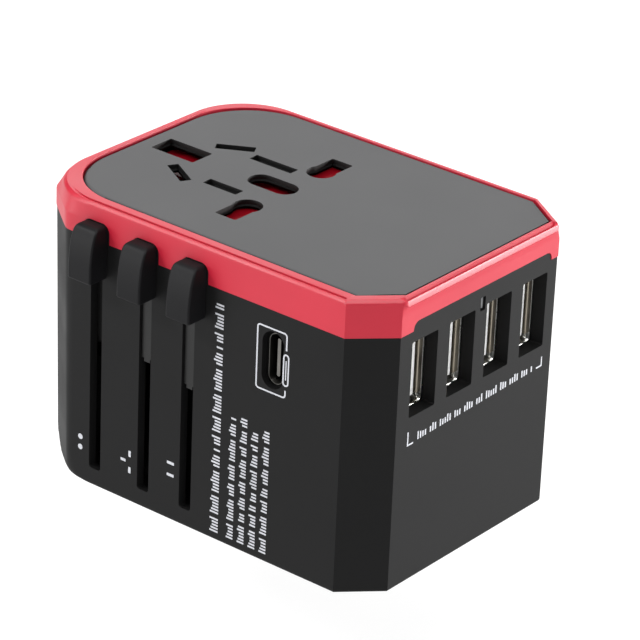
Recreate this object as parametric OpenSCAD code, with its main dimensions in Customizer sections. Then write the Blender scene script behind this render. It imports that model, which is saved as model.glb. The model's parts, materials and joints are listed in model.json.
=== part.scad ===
// Universal travel adapter: a box body with a socket face on top, three slide-out
// plugs under it, four vertical USB-A ports on one end and a USB-C port on one side.
// Origin: centre of the plug face. +Z up to the socket face, +X to the USB-A end,
// -Y to the side with the three slider knobs.

/* [Body] */
// Length of the body along X
body_l = 72; // [70:0.5:76]
// Width of the body along Y
body_w = 53.2; // [52:0.2:56]
// Height from the plug face to the rim of the socket face
body_h = 51.3; // [50:0.1:56]
// Chamfer of the two upright corners at the USB end
end_chamfer = 6.2; // [4:0.1:8]
// Length along X of the two corner cuts at the sliders' end
back_cut_x = 8; // [6:0.2:9]
// Length along Y of the two corner cuts at the sliders' end
back_cut_y = 6.2; // [5:0.2:7]
// Wall thickness of the housing
wall = 1.8; // [1.4:0.1:2]
// Height over which the sliders' end slopes inward at its foot
foot_taper_h = 4; // [3:0.5:10]
// Distance that the sliders' end slopes inward at its foot
foot_taper_d = 3; // [1:0.1:3.2]

/* [Top trim] */
// Height of the red band of the trim ring
band_h = 6.4; // [5.5:0.1:7]
// Thickness of the band
band_t = 1.4; // [1:0.1:1.6]
// Height at which the band starts to lean in towards the rim
lean_z = 48; // [47.5:0.1:49]
// Y of the rim's outer edge on the side away from the sliders
rim_far_y = 24.8; // [24.6:0.1:26]
// Distance that the lip at the USB end stands proud
lip_out = 0.6; // [0.3:0.1:1]
// Half width of the grey face plate along Y
plate_half_w = 23.65; // [23:0.05:24]
// Thickness of the grey face plate
plate_t = 0.8; // [0.6:0.1:1.2]

/* [Socket] */
// X of the line through the live and neutral openings
live_x = -3.9; // [-6:0.1:-2]
// Sideways offset of the whole socket pattern
socket_y = -0.6; // [-1:0.1:1]
// Distance from the live and neutral line to the earth opening
earth_pitch = 22.2; // [22:0.01:22.4]
// Distance of each round pin opening from the middle
round_pitch = 9.4; // [9.3:0.05:9.6]
// Distance of each flat pin opening from the middle
flat_pitch = 6.35; // [6.3:0.05:6.4]

/* [Sliders] */
// Travel of the round-pin plug
eu_travel = 23; // [20:0.5:23]
// Travel of the rectangular-pin plug
uk_travel = 23.1; // [20:0.1:23.1]
// Travel of the flat-blade plug
us_travel = 21.5; // [20:0.5:21.5]
// Width of a knob
knob_w = 4.95; // [4:0.05:5]
// Foot of the knobs above the plug face
knob_z = 39; // [38:0.5:40]
// Height of a knob
knob_h = 9.2; // [8:0.1:9.5]
// Distance that a knob stands out from the wall
knob_out = 4.05; // [3:0.05:4.5]
// Width of the upright slots
slot_w = 2.5; // [2.2:0.1:2.8]
// Lower end of the upright slots
slot_z = 3.3; // [3:0.1:4]

/* [USB] */
// Spacing of the four USB-A ports
usb_pitch = 9.55; // [9:0.05:10]
// Middle height of the USB-A ports
usb_z = 36.45; // [35:0.05:38]
// Sideways offset of the row of USB-A ports
usb_y = 0.3; // [-1:0.1:1]
// X of the middle of the USB-C port
usbc_x = 15.95; // [15:0.05:16.5]
// Middle height of the USB-C port
usbc_z = 36.35; // [35:0.05:38]

/* [Hidden] */

eps = 0.02;
hx = body_l / 2;
hy = body_w / 2;
band_z = body_h - band_h;
step_in = band_t + 0.1;
corner_n = 14;
edge_n = 4;
back_edge_r = 2;
cut_turn = atan(back_cut_x / back_cut_y);
// Far corner of the rim: X where its cut starts, and the cut's length along Y
rim_cut_x = 28.2;
rim_cut_y = 5.2;
// Corner radii of the rim at -X, on the side away from the sliders and on their side
rim_far_r = 11.3;
rim_near_r = 12.7;
rim_far_x = -24.2;
rim_near_x = -22.9;
// Face plate: USB end, corner radius at -X and the cut corners at +X
plate_x = hx - 1.25;
plate_r = 12.7;
plate_round_x = -21;
plate_cut = 5.25;
plate_far_y = 19.2;
red = "crimson";
black = "dimgray";
grey = "gray";
brass = "goldenrod";
steel = "silver";

// Levels of the stack under the socket face
plate_z = body_h - 0.2 - plate_t;
rim_t = 1.6;
flange_z = body_h - rim_t;
skin_t = 0.75;
skin_z = plate_z - skin_t;
block_top = skin_z - 1.55;
block_z = 33.5;
bar_z = block_z - 0.65;
bar_t = 0.55;
line_shutter_z = skin_z - 0.7;
earth_shutter_z = block_top + 0.15;
shutter_t = 0.55;

// Plug side levels
base_t = 2.4;
carrier_t = 4.4;
earth_arm_t = 2.4;
spine_top = band_z - wall - 0.2;
slot_top = band_z - 0.3;
carrier_foot = base_t + 0.4;

// Knob and slot centres along X
eu_x = -21.35;
uk_x = -10.85;
us_x = -0.45;
eu_slot_x = -21.2;
uk_slot_x = -10.6;
us_slot_x = -1.5;
KNOB_X = [eu_x, uk_x, us_x];
SLOT_X = [eu_slot_x, uk_slot_x, us_slot_x];

// Face of the contact block that the detent springs sit on
detent_y = -19.9;

// Plug pins
eu_pin_x = -15.2;
eu_pin_y = 9.5;
eu_pin_r = 2;
eu_pin_out = 19;
eu_core_r = 1.4;
eu_bare = 10;
eu_tip = eu_travel - eu_pin_out;
uk_live_y = 11.11;
uk_pin_out = 17.7;
uk_earth_out = 22.7;
uk_sleeve = 9;
uk_pin_w = 3.97;
uk_pin_l = 6.35;
uk_earth_l = 7.95;
us_blade_x = 6;
us_blade_y = 6.85;
us_blade_out = 17;
us_blade_w = 6.3;
us_blade_t = 1.5;
us_twist = 30;
us_shank_r = 2.3;
us_hole_r = 1.6;
us_hole_z = 5.3;

// Openings in the end wall for the USB-A ports
port_w = 6.5;
port_h = 13.1;
shell_x = hx - 2.6;
usbc_r = 1.58;
board_x = usbc_x + usbc_r;
board_t = 1.6;
fuse_x = 13.8;

// Openings in the trim ring at the USB end and round the knobs
notch_w = 5.5;
notch_z = knob_z + knob_h + 0.1;
notch_r = 1.4;
pad_y0 = -17.3;
pad_y1 = 18.6;
pad_z = 46.5;

// Screws
SCREW_AT = [[-27.6, -18.6], [-12, 22.2], [25.5, 21.2], [25.5, -21.2]];
boss_r = 2.4;
boss_h = 18;
rib_t = 1.6;
screw_r = 1;

// ---------------------------------------------------------------- helpers

// Points along an arc, both ends included
function arc(cx, cy, r, a0, a1, n = corner_n) =
    [for (i = [0:n]) [cx + r * cos(a0 + (a1 - a0) * i / n), cy + r * sin(a0 + (a1 - a0) * i / n)]];

// Plan of the body moved inward by d: chamfers at +X, longer cuts with eased edges at -X
function plan_points(d) =
    let (
        k = end_chamfer - d * (2 - sqrt(2)),
        r = max(back_edge_r - d, 0.05),
        e = d + r,
        end_x = -hx + e,
        end_y = hy - back_cut_y - e * tan(cut_turn / 2),
        side_x = -hx + back_cut_x + e * tan(45 - cut_turn / 2),
        side_y = hy - e
    )
    concat(
        [[hx - d, -hy + d + k], [hx - d, hy - d - k], [hx - d - k, hy - d]],
        arc(side_x, side_y, r, 90, 180 - cut_turn, edge_n),
        arc(end_x, end_y, r, 180 - cut_turn, 180, edge_n),
        arc(end_x, -end_y, r, 180, 180 + cut_turn, edge_n),
        arc(side_x, -side_y, r, 180 + cut_turn, 270, edge_n),
        [[hx - d - k, -hy + d]]
    );

module plan(d) polygon(plan_points(d));

// Plane that slopes the foot of the sliders' end, moved inward by d
module foot_cut(d)
    translate([-hx + d, 0, foot_taper_h])
        rotate([0, -atan(foot_taper_d / foot_taper_h), 0])
            translate([-20, -body_w, -body_l])
                cube([20, 2 * body_w, body_l]);

// Flat outline of the grey plate, moved outward by g: each cut corner's points move by g
// times the tangent of half the turn there
module plate_plan(g) {
    near = g * tan(22.5);
    far_turn = atan((plate_x - rim_cut_x) / (plate_half_w - plate_far_y));
    far_y = g * tan(far_turn / 2);
    far_x = g * tan(45 - far_turn / 2);
    polygon(concat(
        [[plate_x + g, -plate_half_w + plate_cut - near], [plate_x + g, plate_far_y + far_y]],
        [[rim_cut_x + far_x, plate_half_w + g]],
        arc(plate_round_x, plate_half_w - plate_r, plate_r + g, 90, 180),
        arc(plate_round_x, -plate_half_w + plate_r, plate_r + g, 180, 270),
        [[plate_x - plate_cut + near, -plate_half_w - g]]
    ));
}

// Outline of the rim's top edge, inside the body's plan at the corners of -X and along +Y
module rim_plan() polygon(concat(
    [[hx, -hy + end_chamfer], [hx, rim_far_y - rim_cut_y], [rim_cut_x, rim_far_y]],
    arc(rim_far_x, rim_far_y - rim_far_r, rim_far_r, 90, 180),
    arc(rim_near_x, -hy + rim_near_r, rim_near_r, 180, 270),
    [[hx - end_chamfer, -hy]]
));

// Rectangle by its corners
module rect(x0, y0, x1, y1) translate([x0, y0]) square([x1 - x0, y1 - y0]);

// Block by its corners
module block(x0, y0, z0, x1, y1, z1) translate([x0, y0, z0]) cube([x1 - x0, y1 - y0, z1 - z0]);

module obround(x0, x1, y, r) {
    rect(x0, y - r, x1, y + r);
    translate([x0, y]) circle(r, $fn = 40);
    translate([x1, y]) circle(r, $fn = 40);
}

// Live or neutral opening: a slot for a rectangular pin that widens for a round pin
module key_hole(side, g) {
    mirror([0, side < 0 ? 1 : 0]) {
        rect(-2.15 - g, round_pitch, 2.15 + g, 14.9 + g);
        translate([0, round_pitch - 0.1]) circle(2.5 + g, $fn = 48);
    }
}

// Rectangle with rounded upper corners, drawn in a plane whose Y is up
module arched(w, z0, z1, r) {
    rect(-w / 2, z0, w / 2, z1 - r);
    rect(-w / 2 + r, z0, w / 2 - r, z1);
    for (s = [-1, 1])
        translate([s * (w / 2 - r), z1 - r]) circle(r, $fn = 32);
}

// All the openings of the socket face, each grown by g
module socket_plan(g = 0) {
    translate([live_x, socket_y]) {
        for (side = [-1, 1]) key_hole(side, g);
        rect(-earth_pitch - 4.55 - g, -2.5 - g, -earth_pitch + 4.55 + g, 2.5 + g);
        obround(-4.95, -0.05, 0, 2.3 + g);
        translate([-7.7, flat_pitch]) square([8.8 + 2 * g, 2 + 2 * g], center = true);
        translate([-7.75, -flat_pitch]) square([7 + 2 * g, 2 + 2 * g], center = true);
        for (side = [-1, 1])
            translate([-16.55, side * 7.05])
                rotate([0, 0, side * 30]) square([6.7 + 2 * g, 1.95 + 2 * g], center = true);
    }
}

// ---------------------------------------------------------------- housing

// Stack that fills the cut-outs of the trim ring: g is the gap round it
module trim_cutouts(g, depth) {
    translate([hx - depth, 0, 0]) rotate([90, 0, 90]) linear_extrude(depth + 1)
        translate([(pad_y0 + pad_y1) / 2, 0])
            arched(pad_y1 - pad_y0 - 2 * g, band_z - 1, pad_z - g, 1.2);
    for (x = KNOB_X)
        translate([x + 0.05, -hy + depth, 0]) rotate([90, 0, 0]) linear_extrude(depth + 1)
            arched(notch_w - 2 * g, band_z - 1, notch_z - g, notch_r);
}

module slots() {
    for (x = SLOT_X)
        translate([x, 0, 0]) {
            block(-slot_w / 2, -hy - 1, slot_z + 0.5, slot_w / 2, -hy + 4, slot_top);
            block(-slot_w / 2 + 0.5, -hy - 1, slot_z, slot_w / 2 - 0.5, -hy + 4, slot_top);
        }
}

module usb_row() {
    for (i = [0:3]) translate([0, usb_y + (i - 1.5) * usb_pitch, usb_z]) children();
}

// Outside of the housing: walls, the step under the trim ring, and the pads in its cut-outs
module housing_outside() difference() {
    union() {
        linear_extrude(band_z) plan(0);
        translate([0, 0, band_z - eps]) linear_extrude(plate_z - 0.9 - band_z) plan(step_in);
        intersection() {
            translate([0, 0, band_z - eps]) linear_extrude(4) plan(0);
            trim_cutouts(0.1, 3);
        }
    }
    foot_cut(0);
}

module housing_cavity() difference() {
    translate([0, 0, -1]) linear_extrude(body_h + 2) plan(wall);
    foot_cut(wall);
    translate([0, 0, band_z - wall]) linear_extrude(body_h) difference() {
        plan(0);
        plan(step_in + wall);
    }
}

module housing_shell() color(black) difference() {
    housing_outside();
    housing_cavity();
    slots();
    usb_row() block(hx - 4, -port_w / 2, -port_h / 2, hx + 1, port_w / 2, port_h / 2);
    translate([0, usb_y + 0.35, 43.35]) block(hx - 4, -0.65, -1.2, hx + 1, 0.65, 1.2);
    translate([usbc_x, 0, usbc_z]) rotate([90, 0, 0]) linear_extrude(hy + 1)
        upright_obround(2.75, 1.95);
}

// Posts for the base screws, each with a rib bonded to the inside of the side wall
module screw_posts() color(black) difference() {
    intersection() {
        linear_extrude(30) plan(wall);
        for (p = SCREW_AT) {
            translate([p[0], p[1], base_t]) cylinder(r = boss_r, h = boss_h, $fn = 40);
            translate([p[0] - rib_t / 2, p[1] < 0 ? -hy : p[1], base_t])
                cube([rib_t, hy - abs(p[1]), boss_h]);
        }
    }
    foot_cut(wall);
    for (p = SCREW_AT) translate([p[0], p[1], -1]) cylinder(r = screw_r + 0.01, h = 15, $fn = 32);
}

module blade_gate(side) {
    for (a = [0:6:us_twist])
        rotate([0, 0, side * a]) square([us_blade_w + 0.5, us_blade_t + 0.5], center = true);
}

module base_cover() color(black) difference() {
    linear_extrude(base_t) plan(wall + 0.1);
    foot_cut(wall + 0.1);
    for (s = [-1, 1]) {
        translate([eu_pin_x, s * eu_pin_y, -1]) cylinder(r = eu_pin_r + 0.3, h = 5, $fn = 40);
        translate([live_x, s * uk_live_y, -1]) linear_extrude(5)
            square([uk_pin_w + 0.6, uk_pin_l + 0.6], center = true);
        translate([us_blade_x, s * us_blade_y, -1]) linear_extrude(5) blade_gate(s);
    }
    translate([live_x - earth_pitch, 0, -1]) linear_extrude(5)
        square([uk_earth_l + 0.6, uk_pin_w + 0.6], center = true);
    for (p = SCREW_AT) translate([p[0], p[1], 0]) {
        translate([0, 0, -1]) cylinder(r = screw_r + 0.15, h = 5, $fn = 32);
        translate([0, 0, -1]) cylinder(r = 2.1, h = 2.2, $fn = 32);
    }
}

module base_screws() color(steel)
    for (p = SCREW_AT) translate([p[0], p[1], 0]) difference() {
        union() {
            translate([0, 0, 0.15]) cylinder(r = 1.9, h = 1.05, $fn = 32);
            translate([0, 0, 1]) cylinder(r = screw_r, h = 9, $fn = 32);
        }
        for (a = [0, 90]) rotate([0, 0, a])
            translate([0, 0, 0]) cube([2.2, 0.5, 1.5], center = true);
    }

// Groove cut in the rim along the sliders' side and the USB end
module rim_groove() {
    groove_w = 0.5;
    groove_d = 0.35;
    z0 = body_h - groove_d;
    block(-21, -hy + 0.6, z0, hx - end_chamfer - 0.4, -hy + 0.6 + groove_w, z0 + 2);
    block(hx - 0.75, -hy + end_chamfer + 0.4, z0, hx - 0.25, rim_far_y - rim_cut_y - 0.4, z0 + 2);
}

module trim_ring() color(red) difference() {
    union() {
        translate([0, 0, band_z]) linear_extrude(lean_z - band_z) plan(0);
        hull() {
            translate([0, 0, lean_z - 0.02]) linear_extrude(0.02) plan(0);
            translate([0, 0, body_h - 0.02]) linear_extrude(0.02) rim_plan();
        }
        // Lip along the USB end
        translate([0, rim_far_y - rim_cut_y, body_h]) rotate([90, 0, 0])
            linear_extrude(rim_far_y - rim_cut_y + hy - end_chamfer)
            polygon([
                [hx - 1, -2], [hx, -1.9], [hx + lip_out, -1.35],
                [hx + lip_out, -0.75], [hx, -0.3], [hx - 1, -0.3]
            ]);
    }
    translate([0, 0, band_z - 1]) linear_extrude(flange_z - band_z + 1) plan(band_t);
    translate([0, 0, band_z]) linear_extrude(10) plate_plan(0.25);
    trim_cutouts(0, band_t + 0.4);
    rim_groove();
}

module face_plate() color(grey) translate([0, 0, plate_z]) linear_extrude(plate_t) difference() {
    plate_plan(0);
    socket_plan();
}

// Inverted tray under the face plate that roofs the shutters
module socket_cover() color(black) difference() {
    union() {
        translate([0, 0, block_top + 0.05]) linear_extrude(flange_z - 0.1 - block_top)
            plan(step_in + wall + 0.1);
        translate([0, 0, flange_z - 0.2]) linear_extrude(plate_z - flange_z + 0.2) intersection() {
            plan(step_in + wall + 0.1);
            plate_plan(-0.1);
        }
    }
    translate([0, 0, block_top]) linear_extrude(skin_z - block_top) plan(step_in + wall + 1.4);
    translate([0, 0, skin_z - 1]) linear_extrude(5) socket_plan();
}

// ---------------------------------------------------------------- socket

module contact_block() color(black) difference() {
    union() {
        translate([0, 0, block_z]) linear_extrude(block_top - block_z) {
            rect(-32.3, socket_y - 17, 3, socket_y + 17);
            rect(-26, detent_y, 2.5, socket_y - 16.9);
        }
        translate([0, 0, block_top - 2]) linear_extrude(2) plan(step_in + wall + 0.15);
    }
    translate([0, 0, block_z - 1]) linear_extrude(20) socket_plan(0.05);
    // Room for the slider spines and the USB module
    block(-26, -hy, block_z - 1, 6, detent_y, block_top - 1.4);
    block(13, -hy, block_z - 1, hx, hy, block_top - 1.4);
    contact_pockets(0.05);
}

// Leaves that grip the pins, shared by the contacts and by the pockets that hold them
module leaf_pair(y0, y1, half, t, z0, z1) {
    for (s = [-1, 1]) translate([s * (half + t / 2), (y0 + y1) / 2, (z0 + z1) / 2])
        cube([t, y1 - y0, z1 - z0], center = true);
}

module line_leaves(side, g) mirror([0, side < 0 ? 1 : 0, 0]) {
    z0 = block_z - 0.6;
    z1 = block_top - 3;
    // Rectangular and round pins
    leaf_pair(12.2 - g, 14.6 + g, 2.2, 0.6 + g, z0, z1);
    // Flat pin
    block(-11.4 - g, flat_pitch + 1.05, z0, -5 + g, flat_pitch + 1.65 + g, z1);
    // Slanted flat pin
    translate([-16.55, 7.05, 0]) rotate([0, 0, 30])
        block(-2.6 - g, 1, z0, 2.6 + g, 1.6 + g, z1);
}

module contact_pockets(g) translate([live_x, socket_y, 0]) {
    for (side = [-1, 1]) line_leaves(side, g);
    earth_leaves(g);
}

module earth_leaves(g) {
    z0 = block_z - 0.6;
    z1 = block_top - 3;
    for (s = [-1, 1]) {
        half = 0.3 + g / 2;
        block(-earth_pitch - 3 - g, s * 2.85 - half, z0, -earth_pitch + 3 + g, s * 2.85 + half, z1);
        block(-4.2 - g, s * 2.65 - half, z0, -0.8 + g, s * 2.65 + half, z1);
    }
}

// Contacts on one side: leaves joined by bus bars that run round the openings
module line_contact(side) translate([live_x, socket_y, 0]) {
    line_leaves(side, 0);
    translate([0, 0, bar_z]) mirror([0, side < 0 ? 1 : 0, 0]) linear_extrude(bar_t) {
        rect(-19, 12.2, -2.2, 13.4);
        rect(-2.8, 12.2, -2.2, 15.9);
        rect(-2.8, 15.1, 2.8, 15.9);
        rect(2.2, 12.2, 2.8, 15.9);
        rect(-8.6, flat_pitch + 1.05, -7.4, 12.3);
        rect(-17.9, 8.2, -16.7, 12.3);
    }
}

module live_contact() color(brass) line_contact(1);
module neutral_contact() color(brass) line_contact(-1);

module earth_contact() color(brass) translate([live_x, socket_y, 0]) {
    earth_leaves(0);
    translate([0, 0, bar_z]) linear_extrude(bar_t) {
        for (s = [-1, 1]) mirror([0, s < 0 ? 1 : 0]) rect(-earth_pitch - 3, 2.55, -0.8, 3.6);
        rect(-15.5, -2.6, -14, 2.6);
    }
}

module line_shutter() color(red) translate([live_x, socket_y, line_shutter_z]) {
    for (s = [-1, 1]) mirror([0, s < 0 ? 1 : 0, 0]) block(-3, 6.5, 0, 3.2, 15.6, shutter_t);
    block(3, -15.6, 0, 5.4, 15.6, shutter_t);
}

// Two pads joined by side bars that pass between the openings
module earth_shutter() color(red) translate([live_x, socket_y, earth_shutter_z]) {
    block(-earth_pitch - 5, -3.1, 0, -17.4, 3.1, shutter_t);
    block(-7.6, -3.1, 0, 2.7, 3.1, shutter_t);
    for (s = [-1, 1])
        mirror([0, s < 0 ? 1 : 0, 0]) block(-earth_pitch - 5, 2.7, 0, 2.7, 4.1, shutter_t);
}

// Flat return spring folded in a zigzag, from its free end at x0
module zigzag(x0, legs, leg, z) translate([x0, socket_y, z]) {
    pitch = 2.4;
    wire = 0.35;
    for (i = [0:legs]) {
        translate([i * pitch, -leg / 2, 0]) cube([wire, leg, shutter_t]);
        side_y = i % 2 == 0 ? leg / 2 - wire : -leg / 2;
        if (i < legs)
            translate([i * pitch, side_y, 0]) cube([pitch + wire, wire, shutter_t]);
    }
}

module line_shutter_spring() color(steel) zigzag(live_x + 5.45, 5, 3, line_shutter_z);
module earth_shutter_spring() color(steel) zigzag(live_x + 2.75, 8, 3, earth_shutter_z);

// ---------------------------------------------------------------- sliders

// Side view of a knob: Z against the distance from the wall
module knob_profile() {
    k = knob_out;
    h = knob_h;
    polygon([
        [0.15, 0], [k - 0.3, 0], [k, 0.35], [k - 0.05, 2.5], [k - 0.2, 4.6],
        [k - 0.5, 6.3], [k - 1.1, 8], [k - 1.6, 8.8], [k - 2.2, h], [0.15, h]
    ]);
}

module knob(x, slot_x) {
    translate([x, 0, 0]) intersection() {
        translate([-knob_w / 2, -hy, knob_z]) rotate([90, 0, 90]) linear_extrude(knob_w)
            mirror([1, 0]) knob_profile();
        translate([0, -hy + 1, 0]) rotate([90, 0, 0]) linear_extrude(8)
            arched(knob_w, knob_z, knob_z + knob_h, 1.2);
    }
    // Stem through the slot
    stem = slot_w / 2 - 0.2;
    block(slot_x - stem, -hy - 0.3, knob_z + 1.2, slot_x + stem, -hy + 2, spine_top);
}

module eu_knob() color(black) knob(eu_x, eu_slot_x);
module uk_knob() color(black) knob(uk_x, uk_slot_x);
module us_knob() color(black) knob(us_x, us_slot_x);

// Upright spine behind the wall with the rail that fills the slot below the knob
module spine(slot_x, foot, rail_foot, rail_in) {
    half = 2;
    rail = slot_w / 2 - 0.12;
    rail_top = knob_z + 1.1;
    block(slot_x - half, -hy + 2, foot, slot_x + half, -hy + 4.6, spine_top);
    block(slot_x - rail, -hy + rail_in, rail_foot + 0.6, slot_x + rail, -hy + 2.1, rail_top);
    block(slot_x - rail + 0.5, -hy + rail_in, rail_foot, slot_x + rail - 0.5, -hy + 2.1, rail_top);
}

function foot_z(travel) = carrier_foot + travel;

module eu_carrier() color(black) difference() {
    z0 = foot_z(eu_travel);
    z1 = z0 + carrier_t;
    union() {
        spine(eu_slot_x, z0, slot_z + eu_travel + 0.2, 1.6);
        block(eu_slot_x - 2, -hy + 4.5, z0, eu_pin_x + 2, -17, z1);
        block(eu_pin_x - 2, -17.1, z0, eu_pin_x + 2, 11, z1);
        for (s = [-1, 1])
            translate([eu_pin_x, s * eu_pin_y, z0]) cylinder(r = 3, h = carrier_t, $fn = 40);
    }
    for (s = [-1, 1])
        translate([eu_pin_x, s * eu_pin_y, z0 - 1]) cylinder(r = eu_pin_r, h = carrier_t, $fn = 40);
}

module eu_pins() color(steel) for (s = [-1, 1]) translate([eu_pin_x, s * eu_pin_y, 0]) {
    z0 = foot_z(eu_travel);
    head = z0 + carrier_t - 1;
    rotate_extrude($fn = 40) polygon([
        [0, eu_tip], [1.2, eu_tip], [eu_pin_r, eu_tip + 0.9], [eu_pin_r, eu_tip + eu_bare],
        [eu_core_r, eu_tip + eu_bare], [eu_core_r, z0], [eu_pin_r, z0], [eu_pin_r, head], [0, head]
    ]);
}

module eu_pin_sleeves() color(black)
    for (s = [-1, 1]) translate([eu_pin_x, s * eu_pin_y, eu_tip + eu_bare]) difference() {
        cylinder(r = eu_pin_r - 0.1, h = eu_pin_out + carrier_foot - eu_bare, $fn = 40);
        translate([0, 0, -1]) cylinder(r = eu_core_r, h = 30, $fn = 40);
    }

module uk_carrier() color(black) difference() {
    z0 = foot_z(uk_travel);
    z1 = z0 + carrier_t;
    earth_x = live_x - earth_pitch;
    union() {
        spine(uk_slot_x, z0, slot_z + uk_travel + 0.2, 0.65);
        block(uk_slot_x - 1.7, -hy + 4.5, z0, uk_slot_x + 2, -14.5, z1);
        block(uk_slot_x - 1.7, -21, z0, live_x + 3, -14.5, z1);
        block(live_x - 3, -15, z0, live_x + 3, 19.4, z1);
        block(earth_x - 3.2, 15.2, z0, live_x + 3, 19.4, z1);
        block(earth_x - 3.2, 2.9, z0, earth_x + 3.2, 19.4, z1);
        block(earth_x - 4.8, -2.9, z0, earth_x + 4.8, 2.95, z0 + earth_arm_t);
    }
    for (s = [-1, 1]) translate([live_x, s * uk_live_y, z0 + carrier_t / 2 - 1])
        cube([uk_pin_w, uk_pin_l, carrier_t], center = true);
    translate([earth_x, 0, z0 + earth_arm_t / 2 - 1])
        cube([uk_earth_l, uk_pin_w, earth_arm_t], center = true);
}

// One rectangular pin with a pointed tip, its neck thinned where a sleeve covers it
module uk_pin(l_x, l_y, out, sleeve, arm_t) {
    z0 = foot_z(uk_travel);
    tip = uk_travel - out;
    bare = out - sleeve;
    thin = sleeve > 0 ? 1 : 0;
    hull() {
        translate([0, 0, tip + 0.1]) cube([l_x - 1.8, l_y - 1.8, 0.2], center = true);
        translate([0, 0, tip + 1.7]) cube([l_x, l_y, 0.2], center = true);
    }
    translate([-l_x / 2, -l_y / 2, tip + 1.6]) cube([l_x, l_y, bare - 1.6]);
    translate([-(l_x - thin) / 2, -(l_y - thin) / 2, tip + bare - 0.05])
        cube([l_x - thin, l_y - thin, sleeve + carrier_foot + 0.1]);
    translate([-l_x / 2, -l_y / 2, z0]) cube([l_x, l_y, arm_t - 1]);
}

module uk_pins() color(brass) {
    for (s = [-1, 1]) translate([live_x, s * uk_live_y, 0])
        uk_pin(uk_pin_w, uk_pin_l, uk_pin_out, uk_sleeve, carrier_t);
    translate([live_x - earth_pitch, 0, 0])
        uk_pin(uk_earth_l, uk_pin_w, uk_earth_out, 0, earth_arm_t);
}

module uk_pin_sleeves() color(black) for (s = [-1, 1])
    translate([live_x, s * uk_live_y, uk_travel - uk_sleeve]) linear_extrude(uk_sleeve + carrier_foot)
        difference() {
            square([uk_pin_w, uk_pin_l], center = true);
            square([uk_pin_w - 1, uk_pin_l - 1], center = true);
        }

module us_carrier() color(black) difference() {
    z0 = foot_z(us_travel);
    z1 = z0 + carrier_t;
    union() {
        spine(us_slot_x, z0, slot_z + us_travel + 0.2, 0.65);
        block(us_slot_x - 2, -hy + 2.05, z0, us_blade_x + 2.6, -21.6, z1);
        block(us_blade_x - 2.6, -22.5, z0, us_blade_x + 2.6, 9.6, z1);
        for (s = [-1, 1])
            translate([us_blade_x, s * us_blade_y, z0]) cylinder(r = 3.4, h = carrier_t, $fn = 40);
    }
    for (s = [-1, 1]) translate([us_blade_x, s * us_blade_y, z0 - 1])
        cylinder(r = us_shank_r + 0.05, h = carrier_t, $fn = 40);
}

// Flat blade that turns about its own upright axis
module us_blade(side) translate([us_blade_x, side * us_blade_y, 0]) {
    z0 = foot_z(us_travel);
    tip = z0 - carrier_foot - us_blade_out;
    translate([0, us_blade_t / 2, tip]) rotate([90, 0, 0]) linear_extrude(us_blade_t) difference() {
        polygon([
            [-us_blade_w / 2 + 1.2, 0], [us_blade_w / 2 - 1.2, 0], [us_blade_w / 2, 1.4],
            [us_blade_w / 2, us_blade_out + carrier_foot - 0.2],
            [-us_blade_w / 2, us_blade_out + carrier_foot - 0.2], [-us_blade_w / 2, 1.4]
        ]);
        translate([0, us_hole_z]) circle(us_hole_r, $fn = 32);
    }
    translate([0, 0, z0 - 0.2]) cylinder(r = us_shank_r, h = carrier_t - 1, $fn = 40);
}

module us_blade_a() color(steel) us_blade(1);
module us_blade_b() color(steel) us_blade(-1);

// Leaf springs that press on the spines
module detent_springs() color(steel) for (x = SLOT_X)
    translate([x + 1.4, detent_y, 40]) rotate([0, -90, 0]) linear_extrude(2.8)
        polygon([
            [-5.5, 0], [5.5, 0], [5.5, -0.3], [4.6, -0.3], [2.8, -1.4], [-2.8, -1.4],
            [-4.6, -0.3], [-5.5, -0.3]
        ]);

// ---------------------------------------------------------------- USB module

module usb_board() color("darkgreen") difference() {
    block(board_x, -21, 5, board_x + board_t, 20, 44.6);
    for (s = [-1, 1])
        translate([board_x - 1, s * 17.5, 9]) rotate([0, 90, 0]) cylinder(r = 1.2, h = 4, $fn = 32);
}

function port_y(i) = usb_y + (i - 2.5) * usb_pitch;

module usb_a_shell(i) color(steel) translate([0, port_y(i), usb_z]) difference() {
    block(board_x + board_t, -2.85, -6.5, shell_x, 2.85, 6.5);
    block(board_x + board_t + 1, -2.56, -6.2, shell_x + 1, 2.56, 6.2);
}

module usb_a_shell_1() usb_a_shell(1);
module usb_a_shell_2() usb_a_shell(2);
module usb_a_shell_3() usb_a_shell(3);
module usb_a_shell_4() usb_a_shell(4);

module usb_a_tongue(i) color("white") translate([board_x + board_t, port_y(i), usb_z]) {
    block(1.02, -2.5, -6.1, 4, 2.5, 6.1);
    block(3.9, -0.85, -4.9, shell_x - 0.1 - board_x - board_t, 1, 5.6);
}

module usb_a_tongue_1() usb_a_tongue(1);
module usb_a_tongue_2() usb_a_tongue(2);
module usb_a_tongue_3() usb_a_tongue(3);
module usb_a_tongue_4() usb_a_tongue(4);

module upright_obround(half, r) {
    rect(-r, -half, r, half);
    for (s = [-1, 1]) translate([0, s * half]) circle(r, $fn = 32);
}

module usb_c_shell() color(steel)
    translate([usbc_x, -hy + 1, usbc_z]) rotate([-90, 0, 0]) difference() {
        linear_extrude(7.3) upright_obround(2.89, usbc_r);
        translate([0, 0, -1]) linear_extrude(7.3) upright_obround(2.89, usbc_r - 0.3);
    }

module usb_c_tongue() color("black") translate([usbc_x, -hy + 1.5, usbc_z])
    block(-0.35, 0, -3.3, 0.35, 5.8, 3.3);

module transformer() color("orange") {
    x0 = board_x + board_t;
    block(x0, -7, 8, x0 + 11, 7, 22);
    block(x0 + 1, -8.2, 10.5, x0 + 10, 8.2, 19.5);
}

module capacitors() color("steelblue") for (p = [[-13.6, 14, 3.9], [13.6, 14, 3.9], [0, 26, 2.4]])
    translate([board_x + board_t, p[0], p[1]]) rotate([0, 90, 0]) cylinder(r = p[2], h = 11, $fn = 40);

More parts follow.
